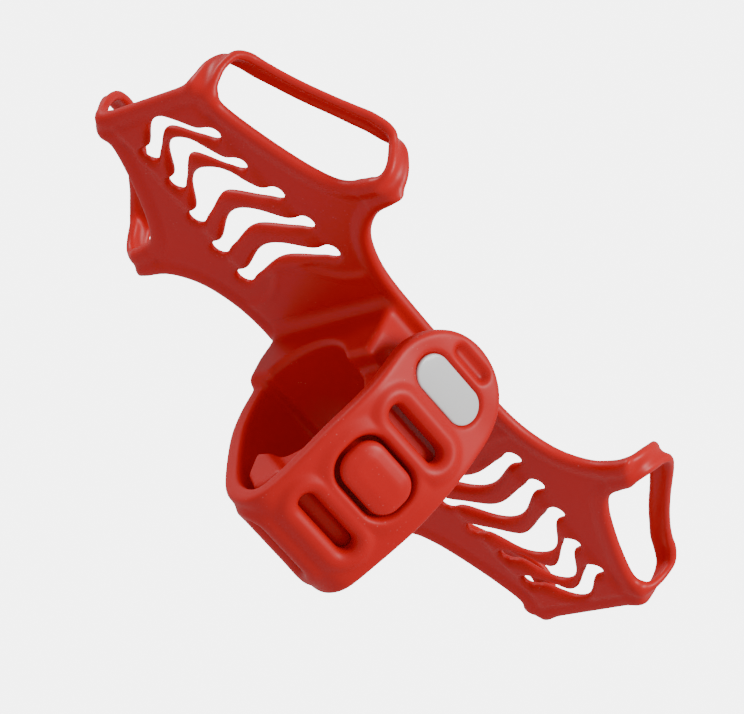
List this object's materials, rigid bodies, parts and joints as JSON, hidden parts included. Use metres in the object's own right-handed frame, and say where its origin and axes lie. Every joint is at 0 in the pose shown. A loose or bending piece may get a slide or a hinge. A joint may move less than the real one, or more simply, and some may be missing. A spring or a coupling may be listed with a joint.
{
  "type": "bicycle phone mount",
  "caption": "Stretch-silicone phone tie: lattice web with corner bands, saddle, and a slotted strap hooked on a button under a stem.",
  "frame": {"origin": "middle of the tie, on the plane that the back of the phone rests on", "axes": "+Z out of the screen of the phone, +Y along the phone, +X across it"},
  "size_m": [0.0764, 0.1482, 0.0602],
  "materials": {
    "silicone": "satin red silicone",
    "stretched_silicone": "satin red silicone, drawn tight",
    "badge": "white plastic badge, plain"
  },
  "bodies": {
    "root": {"hub_plate": "silicone", "saddle_block": "silicone", "strap_leg": "silicone"},
    "upper_web": {"upper_web_frame": "silicone", "upper_rib_1": "silicone", "upper_rib_2": "silicone", "upper_rib_3": "silicone", "upper_rib_4": "silicone"},
    "lower_web": {"lower_web_frame": "silicone", "lower_rib_1": "silicone", "lower_rib_2": "silicone", "lower_rib_3": "silicone", "lower_rib_4": "silicone"},
    "strap_turn": {"strap_turn": "silicone"},
    "strap_front": {"strap_front": "silicone"},
    "strap_tab": {"strap_tab": "silicone", "badge_plate": "badge"},
    "button_arm": {"button_arm": "silicone", "arm_head": "silicone"},
    "button": {"button": "stretched_silicone"},
    "upper_right_band": {"upper_right_band": "stretched_silicone"},
    "upper_left_band": {"upper_left_band": "stretched_silicone"},
    "lower_right_band": {"lower_right_band": "stretched_silicone"},
    "lower_left_band": {"lower_left_band": "stretched_silicone"}
  },
  "joints": [
    {"name": "upper_web_flex", "type": "hinge", "parent": "root", "child": "upper_web", "pos_m": [0, 0.026, -0.0027], "axis": [-1, 0, 0], "range_deg": [0, 35], "stiffness_Nm_per_rad": 0.3},
    {"name": "lower_web_flex", "type": "hinge", "parent": "root", "child": "lower_web", "pos_m": [0, -0.026, -0.0027], "axis": [1, 0, 0], "range_deg": [0, 35], "stiffness_Nm_per_rad": 0.3},
    {"name": "upper_right_band_stretch", "type": "hinge", "parent": "upper_web", "child": "upper_right_band", "pos_m": [0.0352, 0.0394, -0.0028], "axis": [-0.5372, 0.8434, 0], "range_deg": [0, 100], "stiffness_Nm_per_rad": 0.03},
    {"name": "upper_left_band_stretch", "type": "hinge", "parent": "upper_web", "child": "upper_left_band", "pos_m": [-0.0352, 0.0394, -0.0028], "axis": [-0.5372, -0.8434, 0], "range_deg": [0, 100], "stiffness_Nm_per_rad": 0.03},
    {"name": "lower_right_band_stretch", "type": "hinge", "parent": "lower_web", "child": "lower_right_band", "pos_m": [0.0352, -0.0394, -0.0028], "axis": [0.5372, 0.8434, 0], "range_deg": [0, 100], "stiffness_Nm_per_rad": 0.03},
    {"name": "lower_left_band_stretch", "type": "hinge", "parent": "lower_web", "child": "lower_left_band", "pos_m": [-0.0352, -0.0394, -0.0028], "axis": [0.5372, -0.8434, 0], "range_deg": [0, 100], "stiffness_Nm_per_rad": 0.03},
    {"name": "strap_release", "type": "hinge", "parent": "strap_turn", "child": "strap_front", "pos_m": [-0.00528, 0, -0.04959], "axis": [0, -1, 0], "range_deg": [0, 80], "stiffness_Nm_per_rad": 0.2},
    {"name": "strap_turn_relax", "type": "hinge", "parent": "root", "child": "strap_turn", "pos_m": [0.00796, 0, -0.04427], "axis": [0, -1, 0], "range_deg": [0, 12], "stiffness_Nm_per_rad": 0.4},
    {"name": "finger_tab_lift", "type": "hinge", "parent": "strap_front", "child": "strap_tab", "pos_m": [-0.02456, 0, -0.01822], "axis": [0, -1, 0], "range_deg": [0, 60], "stiffness_Nm_per_rad": 0.05},
    {"name": "button_arm_flex", "type": "hinge", "parent": "root", "child": "button_arm", "pos_m": [-0.01083, 0, -0.01515], "axis": [0, -1, 0], "range_deg": [0, 3], "stiffness_Nm_per_rad": 0.4},
    {"name": "button_tilt", "type": "hinge", "parent": "button_arm", "child": "button", "pos_m": [-0.01425, 0, -0.03211], "axis": [0, 1, 0], "range_deg": [-5, 5], "stiffness_Nm_per_rad": 0.02}
  ],
  "couplings": [
    {"joint": "strap_turn_relax", "follows": "strap_release", "ratio": 0.12}
  ]
}
